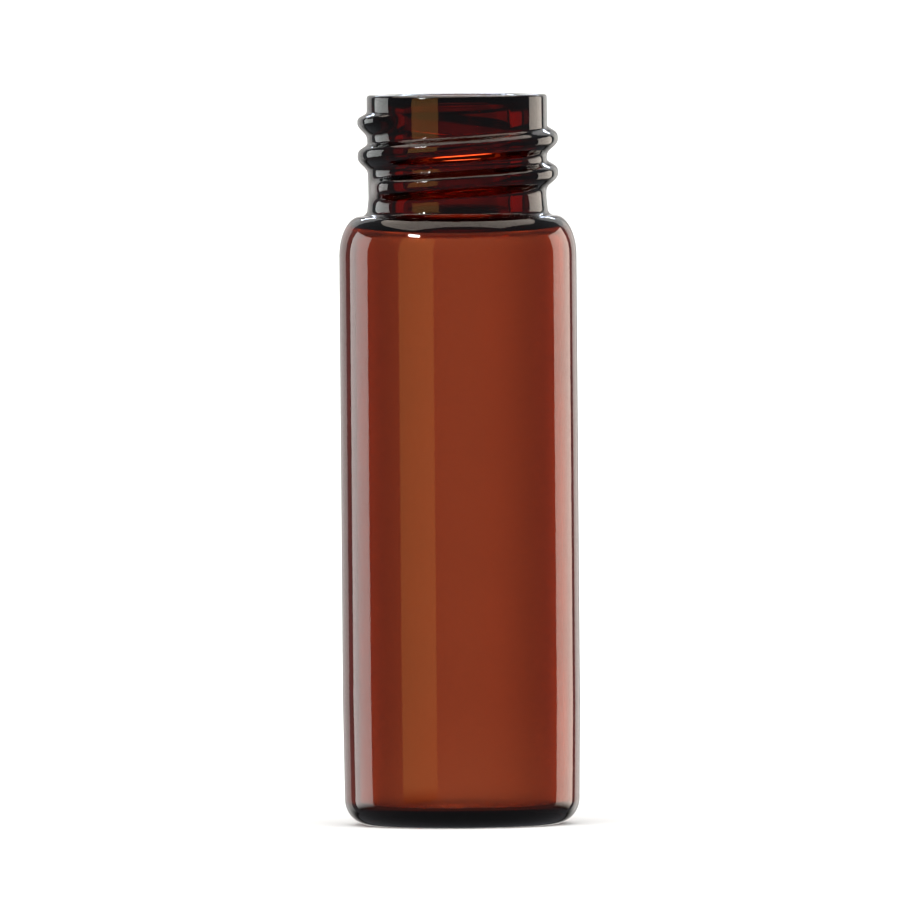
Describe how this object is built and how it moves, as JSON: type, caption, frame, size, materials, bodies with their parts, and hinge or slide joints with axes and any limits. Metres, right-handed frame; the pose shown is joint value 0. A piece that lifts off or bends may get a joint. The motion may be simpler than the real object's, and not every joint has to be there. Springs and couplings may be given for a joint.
{
  "type": "glass sample vial",
  "caption": "Uncapped cylindrical sample vial in amber glass with a rounded shoulder, a narrower neck carrying a right-hand screw thread, and an open mouth.",
  "frame": {"origin": "middle of the resting ring under the base, on the surface that the vial stands on", "axes": "+Z along the vial's axis, from the base up to the mouth; +X to the right and +Y to the back as the vial is seen from its front"},
  "size_m": [0.0146, 0.0146, 0.0451],
  "materials": {
    "amber_glass": "clear amber tubing glass, fire-polished"
  },
  "bodies": {
    "root": {"vial": "amber_glass"}
  },
  "joints": []
}
